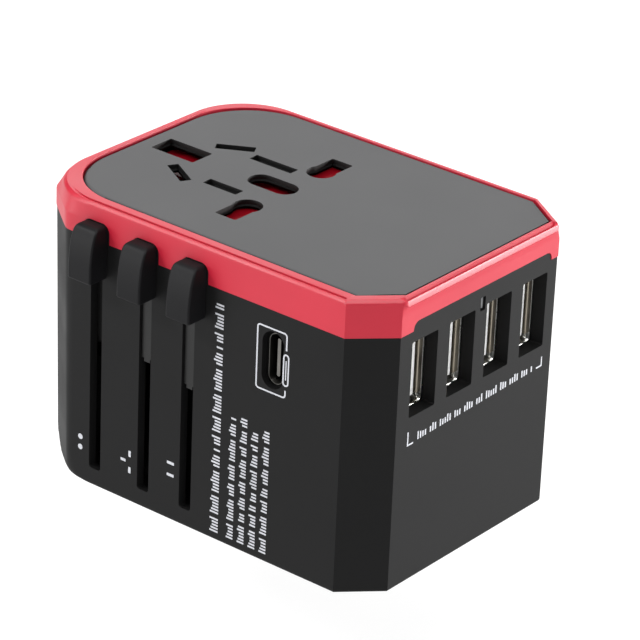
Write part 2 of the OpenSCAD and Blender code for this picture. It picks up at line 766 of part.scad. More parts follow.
module status_light_pipe() color("white") translate([0, usb_y + 0.35, 43.35])
    block(board_x + board_t, -0.55, -0.55, hx - 0.4, 0.55, 1.1);

module fuse() color("white") translate([fuse_x, 4, 27]) rotate([90, 0, 0])
    cylinder(r = 2.5, h = 20, center = true, $fn = 40);

module fuse_clips() color(brass) for (s = [-1, 1]) translate([fuse_x, 4 + s * 8.2, 27]) difference() {
    block(-3.1, -1.6, -3.2, board_x - fuse_x, 1.6, 3.2);
    rotate([90, 0, 0]) cylinder(r = 2.52, h = 8, center = true, $fn = 40);
    block(-4, -2, -1.8, 0, 2, 1.8);
}

// Insulated leads from the bus bars to the board
module power_leads() color("red") for (s = [-1, 1]) {
    x0 = live_x + 2.2;
    translate([x0, socket_y + s * 12.8, bar_z - 0.45]) rotate([0, 90, 0])
        cylinder(r = 0.45, h = board_x - x0, $fn = 24);
}

housing_shell();
screw_posts();
base_cover();
trim_ring();
face_plate();
socket_cover();
contact_block();
live_contact();
neutral_contact();
earth_contact();
line_shutter();
line_shutter_spring();
earth_shutter();
earth_shutter_spring();
detent_springs();
eu_knob();
eu_carrier();
eu_pins();
eu_pin_sleeves();
uk_knob();
uk_carrier();
uk_pins();
uk_pin_sleeves();
us_knob();
us_carrier();
us_blade_a();
us_blade_b();
usb_board();
usb_a_shell_1();
usb_a_shell_2();
usb_a_shell_3();
usb_a_shell_4();
usb_a_tongue_1();
usb_a_tongue_2();
usb_a_tongue_3();
usb_a_tongue_4();
usb_c_shell();
usb_c_tongue();
transformer();
capacitors();
status_light_pipe();
fuse();
fuse_clips();
power_leads();
base_screws();
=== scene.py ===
import json
import math

import bmesh
import bpy
from mathutils import Matrix, Vector

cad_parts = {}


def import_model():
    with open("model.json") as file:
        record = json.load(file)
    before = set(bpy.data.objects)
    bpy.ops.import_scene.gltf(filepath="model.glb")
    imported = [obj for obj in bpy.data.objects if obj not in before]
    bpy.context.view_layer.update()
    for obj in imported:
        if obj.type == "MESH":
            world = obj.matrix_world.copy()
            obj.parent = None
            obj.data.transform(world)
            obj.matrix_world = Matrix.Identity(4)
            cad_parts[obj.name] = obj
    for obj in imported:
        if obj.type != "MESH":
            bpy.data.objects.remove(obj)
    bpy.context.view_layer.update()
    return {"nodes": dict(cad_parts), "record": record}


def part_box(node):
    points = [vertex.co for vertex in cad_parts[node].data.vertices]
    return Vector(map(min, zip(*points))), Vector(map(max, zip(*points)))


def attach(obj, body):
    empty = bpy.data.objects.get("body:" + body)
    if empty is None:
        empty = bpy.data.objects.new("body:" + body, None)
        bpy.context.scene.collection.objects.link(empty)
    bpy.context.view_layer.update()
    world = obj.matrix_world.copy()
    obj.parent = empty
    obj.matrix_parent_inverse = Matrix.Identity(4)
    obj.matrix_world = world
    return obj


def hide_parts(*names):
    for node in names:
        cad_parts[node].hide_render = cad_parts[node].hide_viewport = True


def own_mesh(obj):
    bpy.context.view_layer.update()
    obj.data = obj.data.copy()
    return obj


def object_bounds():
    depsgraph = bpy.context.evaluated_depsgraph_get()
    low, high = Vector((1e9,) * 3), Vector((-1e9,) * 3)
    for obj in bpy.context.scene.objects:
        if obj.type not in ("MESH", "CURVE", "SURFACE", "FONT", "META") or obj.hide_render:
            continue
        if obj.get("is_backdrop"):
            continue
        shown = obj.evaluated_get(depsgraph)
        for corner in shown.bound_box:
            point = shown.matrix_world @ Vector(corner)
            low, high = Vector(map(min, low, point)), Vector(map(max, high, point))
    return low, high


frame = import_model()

MM = 0.001

# ---------------------------------------------------------------- sizes, in millimetres

TRIM_LO, TRIM_HI = (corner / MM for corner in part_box("trim_ring"))
PLATE_LO, PLATE_HI = (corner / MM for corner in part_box("face_plate"))

HX = 36.0                 # half length of the body
HY = -TRIM_LO.y           # half width of the body
H = TRIM_HI.z             # height of the rim
BAND_Z = TRIM_LO.z        # foot of the red band
END_CHAMFER = 6.2         # corner cuts at the USB end
BACK_CUT_X = 8.0          # corner cuts at the sliders' end
BACK_CUT_Y = 6.2
ARC_X = -22.9             # centre of the rim's large arc on the sliders' side
ARC_R = 12.7
WALL = 1.8
BAND_T = 1.38             # thickness of the red band
STEP_IN = 1.5             # the step of the housing under the band
STEP_TOP = H - 1.9
BODY_IN = 0.12            # the housing stands this much inside the band
FOOT_EDGE = 0.6           # rounding of the housing's bottom edge
FOOT_H = 4                # slope of the foot at the sliders' end: height, depth and soft start
FOOT_D = 3
FOOT_SOFT = 0.7
FOOT_ROUND = 1.5          # rounding of the foot's corners at the sliders' end
DRAFT = 0.4               # taper of the sliders' end from the band to the foot
FLOOR_Z = -23.2           # just below the tip of the longest pin when its plug is out

PANEL_Y = (-17.2, 18.5)   # the black panel that rises into the band at the USB end
PANEL_TOP = 46.4
PAD_X = (-2.6, 2.7)       # the black pads that rise into the band behind the knobs
PAD_GAP = 0.15

SLOT_X = (-21.2, -10.6, -1.5)
SLOT_W = 2.5
SLOT_Z = 3.3
KNOB_X = (-21.35, -10.85, -0.45)
KNOB_W = 4.95
KNOB_Z = 39.0
KNOB_H = 9.2

USB_Y = 0.3
USB_Z = 36.45
USB_PITCH = 9.55
PORT_W = 6.5
PORT_H = 13.1
PORT_X = HX - 2.6         # where the mouths of the USB-A shells lie
SHELL_BACK_X = 20.6
USBC_X = 15.95
USBC_Z = 36.35
USBC_STRAIGHT = 2.89      # half the straight side of the USB-C shell
LIGHT_Y = (0.0, 1.3)      # opening of the status light
LIGHT_Z = (42.2, 44.6)

LIVE_X = -3.9             # line of the live and neutral openings
SOCKET_Y = -0.6
EARTH_PITCH = 22.2        # from the earth opening to the line of the other two

# ---------------------------------------------------------------- mesh helpers


def link(obj):
    bpy.context.scene.collection.objects.link(obj)
    return obj


def new_mesh(name, verts, faces):
    """A mesh object from points in millimetres, with its normals outward."""
    mesh = bpy.data.meshes.new(name)
    mesh.from_pydata([Vector(v) * MM for v in verts], [], faces)
    bm = bmesh.new()
    bm.from_mesh(mesh)
    bmesh.ops.remove_doubles(bm, verts=bm.verts, dist=1e-7)
    bmesh.ops.recalc_face_normals(bm, faces=bm.faces)
    bm.to_mesh(mesh)
    bm.free()
    return link(bpy.data.objects.new(name, mesh))


def loft(name, rings, closed=False):
    """Skins rings of points that have the same count. An open loft is capped at both ends."""
    count = len(rings[0])
    verts = [p for ring in rings for p in ring]
    faces = []
    spans = len(rings) if closed else len(rings) - 1
    for i in range(spans):
        a, b = i * count, (i + 1) % len(rings) * count
        for k in range(count):
            n = (k + 1) % count
            faces.append((a + k, a + n, b + n, b + k))
    if not closed:
        faces.append(tuple(range(count)))
        faces.append(tuple(range(len(verts) - count, len(verts))))
    return new_mesh(name, verts, faces)


# An outline's (u, v) is (x, y), (y, z) or (x, z), and w runs along the axis
ALONG = {
    "z": lambda u, v, w: (u, v, w),
    "x": lambda u, v, w: (w, u, v),
    "y": lambda u, v, w: (u, w, v),
}


def levels(sections, axis):
    """Rings of points from (outline, level) sections."""
    return [[ALONG[axis](u, v, w) for u, v in outline] for outline, w in sections]


def prism(name, outline, lo, hi, axis="z"):
    """A flat outline drawn out along an axis."""
    return loft(name, levels([(outline, lo), (outline, hi)], axis))


def tube(name, sections, axis):
    """A wall skinned through (outline, level) sections that returns to its start."""
    return loft(name, levels(sections, axis), closed=True)


def arc(cx, cy, r, a0, a1, steps=8):
    """Points on a circle, from one angle to another, in degrees."""
    angles = [math.radians(a0 + (a1 - a0) * i / steps) for i in range(steps + 1)]
    return [(cx + r * math.cos(a), cy + r * math.sin(a)) for a in angles]


def rounded(u0, v0, u1, v1, r, top=None, steps=5):
    """Rectangle with rounded corners; top is the radius of the two corners at v1."""
    t = r if top is None else top
    return (
        arc(u1 - r, v0 + r, r, -90, 0, steps)
        + arc(u1 - t, v1 - t, t, 0, 90, steps)
        + arc(u0 + t, v1 - t, t, 90, 180, steps)
        + arc(u0 + r, v0 + r, r, 180, 270, steps)
    )


def turned(points, cx, cy, degrees):
    """Points turned about the origin, then moved to a centre."""
    a = math.radians(degrees)
    return [
        (cx + u * math.cos(a) - v * math.sin(a), cy + u * math.sin(a) + v * math.cos(a))
        for u, v in points
    ]


def baked(obj):
    """Applies the object's modifiers."""
    depsgraph = bpy.context.evaluated_depsgraph_get()
    mesh = bpy.data.meshes.new_from_object(obj.evaluated_get(depsgraph))
    old = obj.data
    obj.modifiers.clear()
    obj.data = mesh
    bpy.data.meshes.remove(old)
    return obj


def combine(obj, others, operation):
    """Boolean of obj with each of the others, which are used up."""
    for other in others:
        mod = obj.modifiers.new("boolean", "BOOLEAN")
        mod.operation = operation
        mod.solver = "EXACT"
        mod.object = other
    baked(obj)
    for other in others:
        mesh = other.data
        bpy.data.objects.remove(other)
        bpy.data.meshes.remove(mesh)
    return obj


def cut(obj, others):
    return combine(obj, others, "DIFFERENCE")


def join(obj, others):
    return combine(obj, others, "UNION")


def flatten(obj):
    """Merges faces that lie in one plane."""
    angle = math.radians(0.5)
    bm = bmesh.new()
    bm.from_mesh(obj.data)
    bmesh.ops.remove_doubles(bm, verts=bm.verts, dist=2e-6)
    bmesh.ops.dissolve_limit(
        bm, angle_limit=angle, verts=bm.verts, edges=bm.edges, delimit={"NORMAL"}
    )
    bm.to_mesh(obj.data)
    bm.free()
    return obj


def weighted(obj, weight):
    """Bakes normals that follow the larger faces, so that flat faces look flat."""
    shade = obj.modifiers.new("shade", "WEIGHTED_NORMAL")
    shade.keep_sharp = True
    shade.weight = weight
    return baked(obj)


def ease_edges(obj, width, angle=30):
    """Rounds the edges and shades the piece so that its flat faces stay flat."""
    if width > 0:
        mod = obj.modifiers.new("bevel", "BEVEL")
        mod.width = width * MM
        mod.segments = 2
        mod.limit_method = "ANGLE"
        mod.angle_limit = math.radians(angle)
        mod.use_clamp_overlap = True
        mod.miter_outer = "MITER_SHARP"
    obj.data.polygons.foreach_set("use_smooth", [True] * len(obj.data.polygons))
    obj.data.update()
    return weighted(obj, 80)


def smooth(obj, angle):
    """Smooth shading, with edges sharper than the angle kept crisp."""
    mesh = obj.data
    mesh.polygons.foreach_set("use_smooth", [True] * len(mesh.polygons))
    mesh.set_sharp_from_angle(angle=math.radians(angle))
    return obj


def place(obj, body, nodes, slot, material):
    """Gives the piece its material and its body, and hides the CAD nodes that it stands for. The
    slot is not used.
    """
    obj.data.materials.clear()
    obj.data.materials.append(material)
    if nodes:
        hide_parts(*nodes)
    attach(obj, body)
    return obj


def softened(node, body, slot, material, width):
    """A copy of a CAD node's mesh with eased edges, which stands for that node."""
    source = frame["nodes"][node]
    obj = link(bpy.data.objects.new(node + "_eased", source.data.copy()))
    flatten(obj)
    ease_edges(obj, width)
    return place(obj, body, [node], slot, material)


def merged(name, pieces):
    """One object from several, kept as separate shells."""
    bm = bmesh.new()
    for piece in pieces:
        bm.from_mesh(piece.data)
        mesh = piece.data
        bpy.data.objects.remove(piece)
        bpy.data.meshes.remove(mesh)
    mesh = bpy.data.meshes.new(name)
    bm.to_mesh(mesh)
    bm.free()
    return link(bpy.data.objects.new(name, mesh))


# ---------------------------------------------------------------- materials


class Nodes:
    """A short way to build a material's nodes."""

    def __init__(self, name):
        self.material = bpy.data.materials.new(name)
        self.material.use_nodes = True
        self.tree = self.material.node_tree
        self.shader = self.tree.nodes["Principled BSDF"]
        self.coords = self.tree.nodes.new("ShaderNodeTexCoord").outputs["Object"]

    def new(self, kind, **values):
        node = self.tree.nodes.new(kind)
        for key, value in values.items():
            setattr(node, key, value)
        return node

    def wire(self, output, target):
        self.tree.links.new(output, target)

    def noise(self, scale, detail=3.0, roughness=0.5, stretch=None):
        """Noise in the piece's own coordinates; scale is in features per metre."""
        node = self.new("ShaderNodeTexNoise")
        node.inputs["Scale"].default_value = scale
        node.inputs["Detail"].default_value = detail
        node.inputs["Roughness"].default_value = roughness
        source = self.coords
        if stretch:
            mapping = self.new("ShaderNodeMapping")
            mapping.inputs["Scale"].default_value = stretch
            self.wire(self.coords, mapping.inputs["Vector"])
            source = mapping.outputs["Vector"]
        self.wire(source, node.inputs["Vector"])
        return node.outputs["Fac"]

    def ramp(self, value, stops):
        """Colours at places along a value."""
        node = self.new("ShaderNodeValToRGB")
        elements = node.color_ramp.elements
        while len(elements) < len(stops):
            elements.new(0.5)
        for element, (at, colour) in zip(elements, stops):
            element.position = at
            element.color = (*colour, 1)
        self.wire(value, node.inputs["Fac"])
        return node.outputs["Color"]

    def span(self, value, low, high, from_low, from_high):
        """A value's range mapped to another."""
        node = self.new("ShaderNodeMapRange")
        node.inputs["From Min"].default_value = from_low
        node.inputs["From Max"].default_value = from_high
        node.inputs["To Min"].default_value = low
        node.inputs["To Max"].default_value = high
        self.wire(value, node.inputs["Value"])
        return node.outputs["Result"]

    def bump(self, height, strength, distance):
        node = self.new("ShaderNodeBump")
        node.inputs["Strength"].default_value = strength
        node.inputs["Distance"].default_value = distance
        self.wire(height, node.inputs["Height"])
        return node.outputs["Normal"]

    def set(self, name, value):
        """A constant on the shader's own socket."""
        self.shader.inputs[name].default_value = value

    def feed(self, name, output):
        self.wire(output, self.shader.inputs[name])

    def mottled(self, value, colour, spread):
        """A colour that a noise makes a little darker and lighter."""
        dark, pale = (tuple(min(1.0, c * f) for c in colour) for f in (1 - spread, 1 + spread))
        return self.ramp(value, [(NOISE_LOW, dark), (NOISE_HIGH, pale)])


NOISE_LOW, NOISE_HIGH = 0.3, 0.7      # the range that most of a noise's values lie in
GRAIN_SCALE = 9000
GRAIN_DEPTH = 0.000004                # metres


def plastic(name, colour, rough, grain_depth=GRAIN_DEPTH, spread=0.12, specular=0.5):
    """Moulded plastic: a fine spark-eroded grain, soft mottling in colour and gloss."""
    n = Nodes(name)
    mottle = n.noise(90, 4, 0.55)
    fine = n.noise(GRAIN_SCALE, 2, 0.6)
    n.feed("Base Color", n.mottled(mottle, colour, spread))
    n.feed("Roughness", n.span(mottle, rough * 0.9, rough * 1.1, NOISE_LOW, NOISE_HIGH))
    n.feed("Normal", n.bump(fine, 0.35, grain_depth))
    n.set("Specular IOR Level", specular)
    return n.material


def metal(name, colour, rough):
    """Plated or drawn metal: fine lines across the Z axis and light smudges."""
    n = Nodes(name)
    lines = n.noise(2500, 3, 0.6, stretch=(1, 1, 30))
    smudge = n.noise(220, 3, 0.5)
    n.feed("Base Color", n.mottled(smudge, colour, 0.08))
    n.feed("Roughness", n.span(smudge, rough * 0.8, rough * 1.3, NOISE_LOW, NOISE_HIGH))
    n.feed("Normal", n.bump(lines, 0.15, GRAIN_DEPTH))
    n.set("Metallic", 1.0)
    return n.material


def sheet_with_painted_shade(name, colour, painted_shade_colour, rough):
    """Grey plate plastic with painted shade: black wherever a face doesn't look up, as on the
    sloped border and the walls of the holes.
    """
    n = Nodes(name)
    mottle = n.noise(60, 4, 0.55)
    fine = n.noise(GRAIN_SCALE, 2, 0.6)
    top = n.mottled(mottle, colour, 0.03)
    geometry = n.new("ShaderNodeNewGeometry")
    split = n.new("ShaderNodeSeparateXYZ")
    n.wire(geometry.outputs["Normal"], split.inputs["Vector"])
    upward = n.span(split.outputs["Z"], 0.0, 1.0, 0.9, 0.98)
    mix = n.new("ShaderNodeMix", data_type="RGBA")
    n.wire(upward, mix.inputs["Factor"])
    mix.inputs["A"].default_value = (*painted_shade_colour, 1)
    n.wire(top, mix.inputs["B"])
    n.feed("Base Color", mix.outputs["Result"])
    n.feed("Roughness", n.span(mottle, rough * 0.95, rough * 1.05, NOISE_LOW, NOISE_HIGH))
    n.feed("Normal", n.bump(fine, 0.3, GRAIN_DEPTH))
    n.set("Specular IOR Level", 0.3)
    return n.material


BLACK = plastic("black_housing_plastic", (0.0095, 0.0095, 0.0097), 0.52, spread=0.08, specular=0.09)
# A darker copy of the black plastic for the parts inside the housing and behind the slots: painted
# shade
INNER_BLACK = plastic("inner_black_plastic", (0.004, 0.004, 0.004), 0.6, specular=0.1)
KNOB = plastic("knob_plastic", (0.0075, 0.0075, 0.0083), 0.48, grain_depth=0.000003, specular=0.10)
RAIL = plastic("rail_plastic", (0.017, 0.017, 0.017), 0.45, specular=0.2)
# The plate's grey, with black painted shade on every face that doesn't look up
GREY = sheet_with_painted_shade("grey_plate_plastic", (0.069, 0.069, 0.071), (0.004, 0.004, 0.004), 0.6)
RED = plastic(
    "red_trim_plastic", (0.53, 0.011, 0.033), 0.44, grain_depth=0.000001, spread=0.03, specular=0.36
)
CRIMSON = plastic("crimson_shutter_plastic", (0.20, 0.001, 0.006), 0.35, spread=0.06, specular=0.08)
TONGUE = plastic("tongue_plastic", (0.85, 0.85, 0.84), 0.3, spread=0.03)
TAB = metal("spring_tab_metal", (0.40, 0.36, 0.29), 0.4)
DARK_METAL = metal("dark_plated_metal", (0.15, 0.145, 0.135), 0.35)
# A darkened copy of the plated metal, as painted shade for the USB-C shell inside its recess
SHADED_METAL = metal("shaded_plated_metal", (0.035, 0.034, 0.031), 0.4)
PIPE = plastic("light_pipe_plastic", (0.30, 0.31, 0.32), 0.25)
STEEL = metal("plated_steel", (0.60, 0.60, 0.58), 0.24)
PIN = metal("plated_pin", (0.70, 0.70, 0.71), 0.3)
# The EU pins' metal: a darker copy of the pin metal, as painted shade that keeps their glint dim
# through the slots
DIMMED_PIN_METAL = metal("pin_metal_painted_shade", (0.30, 0.30, 0.31), 0.42)
CONTACT = metal("contact_brass", (0.10, 0.07, 0.03), 0.5)
BRASS = metal("brass", (0.80, 0.58, 0.26), 0.25)
BOARD = plastic("board_mask", (0.012, 0.11, 0.04), 0.3)
TAPE = plastic("winding_tape", (0.72, 0.47, 0.06), 0.35)
CAN = plastic("capacitor_sleeve", (0.03, 0.05, 0.16), 0.25)
CERAMIC = plastic("fuse_ceramic", (0.8, 0.78, 0.72), 0.25)
LEAD = plastic("lead_insulation", (0.45, 0.02, 0.02), 0.4)
PRINT = plastic("pale_print", (0.55, 0.56, 0.60), 0.5, spread=0.05)

# ---------------------------------------------------------------- outlines

BACK_CENTRE_Y = HY - ARC_R
CUT_LENGTH = math.hypot(BACK_CUT_X, BACK_CUT_Y)
CUT_NX, CUT_NY = BACK_CUT_Y / CUT_LENGTH, BACK_CUT_X / CUT_LENGTH
CUT_REACH = HX * CUT_NX + (HY - BACK_CUT_Y) * CUT_NY
EDGE_POWER = 60           # the higher, the crisper the upright edges at the sliders' end
CORNER_ANGLES = [90 + 3 * i for i in range(31)]
MITRE = 0.414             # shift of a 45 degree corner along its face, for each mm of offset


def corner_point(angle, centre, inset, side, foot=0.0, corner=0.0, power=EDGE_POWER):
    """Body outline at a corner of the sliders' end, met from a centre in a direction."""
    cx, cy = centre
    ux, uy = math.cos(math.radians(angle)), math.sin(math.radians(angle))
    total = 0.0
    for nx, ny, reach in ((0, 1, HY), (-CUT_NX, CUT_NY, CUT_REACH - corner), (-1, 0, HX - foot)):
        facing = nx * ux + ny * uy
        if facing > 1e-6:
            total += ((reach - inset - nx * cx - ny * cy) / facing) ** -power
    t = total ** (-1 / power)
    return Vector((cx + t * ux, side * (cy + t * uy)))


def body_outline(inset, foot=0.0, corner=0.0, power=EDGE_POWER):
    """Plan of the body moved inward; foot and corner move the faces of the sliders' end further."""
    k = END_CHAMFER - inset * (2 - math.sqrt(2))
    x, y = HX - inset, HY - inset
    back = [
        tuple(corner_point(angle, (ARC_X, BACK_CENTRE_Y), inset, side, foot, corner, power))
        for side, angles in ((1, CORNER_ANGLES), (-1, reversed(CORNER_ANGLES)))
        for angle in angles
    ]
    return [(x, -y + k), (x, y - k), (x - k, y)] + back + [(x - k, -y)]


def foot_shift(z):
    """Slope of the foot at the sliders' end, with a soft start."""
    slope = FOOT_D / FOOT_H
    if z >= FOOT_H + FOOT_SOFT:
        return 0.0
    if z <= FOOT_H - FOOT_SOFT:
        return slope * (FOOT_H - z)
    return slope * (FOOT_H + FOOT_SOFT - z) ** 2 / (4 * FOOT_SOFT)


# ---------------------------------------------------------------- housing


def housing_wall():
    """Outside from the foot up to the step under the band, then down again inside."""
    rings = []

    def ring(z, inset):
        power = min(EDGE_POWER, 14 + 15 * z)
        draft = DRAFT * max(0.0, 1 - z / BAND_Z)
        under = max(0.0, FOOT_ROUND - z)
        corner = draft + FOOT_ROUND - math.sqrt(FOOT_ROUND * FOOT_ROUND - under * under)
        outline = body_outline(inset, foot_shift(z) + draft, corner, power)
        rings.append([(u, v, z) for u, v in outline])

    for a in range(0, 91, 22):
        z = FOOT_EDGE * (1 - math.cos(math.radians(a)))
        ring(z, BODY_IN + FOOT_EDGE * (1 - math.sin(math.radians(a))))
    for z in (FOOT_EDGE + 0.05, 1.2, 1.8, 2.5):
        ring(z, BODY_IN)
    for share in (-1, -0.5, 0, 0.5, 1):
        ring(FOOT_H + share * FOOT_SOFT, BODY_IN)
    ring(BAND_Z, BODY_IN)
    ring(BAND_Z, STEP_IN)
    ring(STEP_TOP, STEP_IN)
    ring(STEP_TOP, STEP_IN + WALL)
    ring(BAND_Z - WALL, STEP_IN + WALL)
    ring(BAND_Z - WALL, WALL)
    ring(FOOT_H + FOOT_SOFT, WALL)
    ring(FOOT_H - FOOT_SOFT, WALL)
    ring(0, WALL)
    return loft("housing", rings, closed=True)


def housing():
    shell = housing_wall()

    panel = rounded(PANEL_Y[0], BAND_Z - 1.2, PANEL_Y[1], PANEL_TOP, 0.3, 1.2)
    pads = [prism("pad", panel, HX - 2.2, HX - BODY_IN, "x")]
    for x in KNOB_X:
        u0, u1 = x + PAD_X[0], x + PAD_X[1]
        outline = rounded(u0, BAND_Z - 1.2, u1, KNOB_Z + KNOB_H + 0.1, 0.3, 1.4)
        pads.append(prism("pad", outline, -HY + BODY_IN, -HY + 2.2, "y"))
    surround = rounded(USB_Y - 18.6, USB_Z - 7.6, USB_Y + 18.6, USB_Z + 7.4, 0.4)
    pads.append(prism("surround", surround, PORT_X + 0.05, HX - 1, "x"))
    join(shell, pads)

    holes = []
    for x in SLOT_X:
        outline = rounded(x - SLOT_W / 2, SLOT_Z, x + SLOT_W / 2, BAND_Z - 0.3, 0.55, 0.2)
        holes.append(prism("slot", outline, -HY - 1, -HY + 3.4, "y"))
    half_w, half_h = PORT_W / 2, PORT_H / 2
    for i in range(4):
        y = port_y(i)
        outline = rounded(y - half_w, USB_Z - half_h, y + half_w, USB_Z + half_h, 0.3)
        holes.append(prism("port", outline, HX - 4, HX + 1, "x"))
    light = rounded(LIGHT_Y[0], LIGHT_Z[0], LIGHT_Y[1], LIGHT_Z[1], 0.25)
    holes.append(prism("light", light, HX - 4, HX + 1, "x"))
    recess = rounded(USBC_X - 2.3, USBC_Z - 4.95, USBC_X + 2.1, USBC_Z + 4.95, 2.15, steps=10)
    holes.append(prism("port", recess, -HY - 1, -HY + 3, "y"))
    cut(shell, holes)
    flatten(shell)
    ease_edges(shell, 0.12)
    return place(shell, "housing", ["housing_shell"], "black_plastic", BLACK)


def slot_shade_rib():
    """Angled dark rib inside the wall, between the paths of two of the plug carriers: a dark piece
    that stands in for shade, which keeps the view through the US slot dark and hides the EU pins
    from it.
    """
    outline = [
        (-8.4, -24.9), (-8.0, -24.9), (-8.0, -21.6), (-3.8, -21.6), (-3.8, -21.2), (-8.4, -21.2),
    ]
    rib = prism("inner_guide_rib", outline, 2.5, 32)
    ease_edges(rib, 0.06)
    place(rib, "housing", [], "black_plastic", INNER_BLACK)


# ---------------------------------------------------------------- trim ring

# Near is the sliders' side, and far is the side away from them
RIM_UNDER = H - 1.6       # underside of the rim, inside the band
LEAN_Z = 48.0             # the band leans in towards the rim above this
LIP_RISE = 1.1            # length over which the lip grows from the corner
RIM_NEAR = ((ARC_X, BACK_CENTRE_Y), ARC_R)
RIM_FAR_Y = 24.8
RIM_FAR = ((-24.2, RIM_FAR_Y - 11.3), 11.3)
RIM_FAR_CUT = (28.2, 5.2)         # where the cut starts in X, and its depth in Y
PLATE_ARC = ((-21.13, 11.0), 12.67)
PLATE_X, PLATE_Y = 34.75, 23.67
PLATE_NEAR_CUT = (29.45, 18.37)   # where the plate's corner cuts meet its side and its end
PLATE_FAR_CUT = (28.2, 19.2)


def straight(start, end, s, from_start):
    """Point at a distance along the line between two corners that move with an offset."""
    def at(offset):
        a, b = Vector(start(offset)), Vector(end(offset))
        u = (b - a).normalized()
        return a + u * s if from_start else b - u * s
    return at


# Each returns a corner of the USB end as it moves with an offset: second is the corner on the
# long side, and not second is the one on the end


def body_corner(side, second):
    def at(d):
        if second:
            return HX - END_CHAMFER - MITRE * d, side * (HY - d)
        return HX - d, side * (HY - END_CHAMFER - MITRE * d)
    return at


def rim_corner(side, second):
    if side < 0:
        return body_corner(side, second)
    cut_x, cut_y = RIM_FAR_CUT

    def at(d):
        if second:
            return cut_x - 0.303 * d, RIM_FAR_Y - d
        return HX - d, RIM_FAR_Y - cut_y - 0.535 * d
    return at


def plate_corner(side, second):
    cut_x, cut_y = PLATE_FAR_CUT if side > 0 else PLATE_NEAR_CUT
    mitre_x, mitre_y = (0.31, 0.53) if side > 0 else (MITRE, MITRE)

    def at(g):
        if second:
            return cut_x + mitre_x * g, side * (PLATE_Y + g)
        return PLATE_X + g, side * (cut_y + mitre_y * g)
    return at


def trim_stations():
    """Stations round the ring: body, rim and plate outlines, and shares of each rim profile.

    The shares are those of the grooved, lipped and thin profiles over the plain one.
    """
    stations = []

    def stretch(start, end, offsets, lip, thin):
        for from_start, s in offsets:
            paths = [
                straight(corner(*start), corner(*end), s, from_start)
                for corner in (body_corner, rim_corner, plate_corner)
            ]
            stations.append((*paths, 0.0, lip(s), thin))

    def tangents(side):
        cx = RIM_FAR[0][0] if side > 0 else RIM_NEAR[0][0]
        rim_y = RIM_FAR_Y if side > 0 else HY
        stations.append((
            lambda d: Vector((cx, side * (HY - d))),
            lambda d: Vector((cx, side * (rim_y - d))),
            lambda g: Vector((PLATE_ARC[0][0], side * (PLATE_Y + g))),
            1.0 if side < 0 else 0.0, 0.0, 1.0 if side > 0 else 0.0,
        ))

    def bend(side):
        centre, radius = RIM_FAR if side > 0 else RIM_NEAR
        (px, py), plate_r = PLATE_ARC
        rim_c = Vector((centre[0], side * centre[1]))
        plate_c = Vector((px, side * py))
        for angle in CORNER_ANGLES if side > 0 else reversed(CORNER_ANGLES):
            u = Vector((math.cos(math.radians(angle)), side * math.sin(math.radians(angle))))
            t = (angle - 90) / 90
            stations.append((
                lambda d, angle=angle: corner_point(angle, centre, d, side),
                lambda d, u=u: rim_c + u * (radius - d),
                lambda g, u=u: plate_c + u * (plate_r + g),
                max(0.0, 1 - t / 0.3) if side < 0 else 0.0, 0.0,
                max(0.0, 1 - t / 0.6) if side > 0 else 0.0,
            ))

    ends = (0.0, 0.15, 0.4, 0.75, LIP_RISE)
    along_end = [(True, s) for s in ends] + [(False, s) for s in reversed(ends)]
    both_ends = [(True, 0.02), (False, 0.02)]
    stretch((-1, False), (1, False), along_end, lambda s: min(1.0, s / LIP_RISE) ** 0.5, 0.0)
    stretch((1, False), (1, True), both_ends, lambda s: 0.0, 1.0)
    tangents(1)
    bend(1)
    bend(-1)
    tangents(-1)
    # The groove of the sliders' side stops just before the corner
    body_end, plate_end = body_corner(-1, True), plate_corner(-1, True)
    for s, groove in ((0.4, 1.0), (0.2, 0.0), (0.0, 0.0)):
        stations.append((
            lambda d, s=s: Vector(body_end(d)) - Vector((s, 0)),
            lambda d, s=s: Vector(body_end(d)) - Vector((s, 0)),
            lambda g, s=s: Vector(plate_end(g)) - Vector((s, 0)),
            groove, 0.0, 0.0,
        ))
    stretch((-1, True), (-1, False), both_ends, lambda s: 0.0, 0.0)
    return stations


def blend_pairs(a, b, t):
    return [(p[0] + (q[0] - p[0]) * t, p[1] + (q[1] - p[1]) * t) for p, q in zip(a, b)]


def rim_profile(groove, lip, thin):
    profile = PLAIN_RIM
    for other, share in ((GROOVED_RIM, groove), (LIPPED_RIM, lip), (THIN_RIM, thin)):
        profile = blend_pairs(profile, other, share)
    return profile


# Profiles from the plate outward: distance inside the body's face, and height against the rim
PLAIN_RIM = [
    (1.10, 0.0), (1.04, 0.0), (1.0, 0.0), (0.66, 0.0), (0.60, 0.0), (0.54, 0.0),
    (0.48, -0.01), (0.42, -0.05), (0.05, -0.42), (0.0, -0.52), (0.0, -0.9), (0.0, -1.9),
]
THIN_RIM = [
    (0.46, 0.0), (0.45, 0.0), (0.44, 0.0), (0.43, 0.0), (0.42, 0.0), (0.40, 0.0),
    (0.36, 0.0), (0.24, -0.03), (0.07, -0.13), (0.0, -0.32), (0.0, -0.9), (0.0, -1.9),
]
GROOVED_RIM = [
    (1.16, 0.0), (1.12, -0.03), (1.04, -0.38), (0.66, -0.40), (0.58, -0.06), (0.54, -0.02),
    (0.42, -0.02), (0.34, -0.05), (0.06, -0.36), (0.0, -0.46), (0.0, -0.9), (0.0, -1.9),
]
LIPPED_RIM = [
    (0.50, 0.0), (0.47, -0.01), (0.44, -0.05), (-0.01, -0.52), (-0.06, -0.50), (-0.15, -0.28),
    (-0.21, -0.24), (-0.34, -0.28), (-0.43, -0.42), (-0.585, -1.14), (-0.30, -1.42), (0.0, -1.9),
]


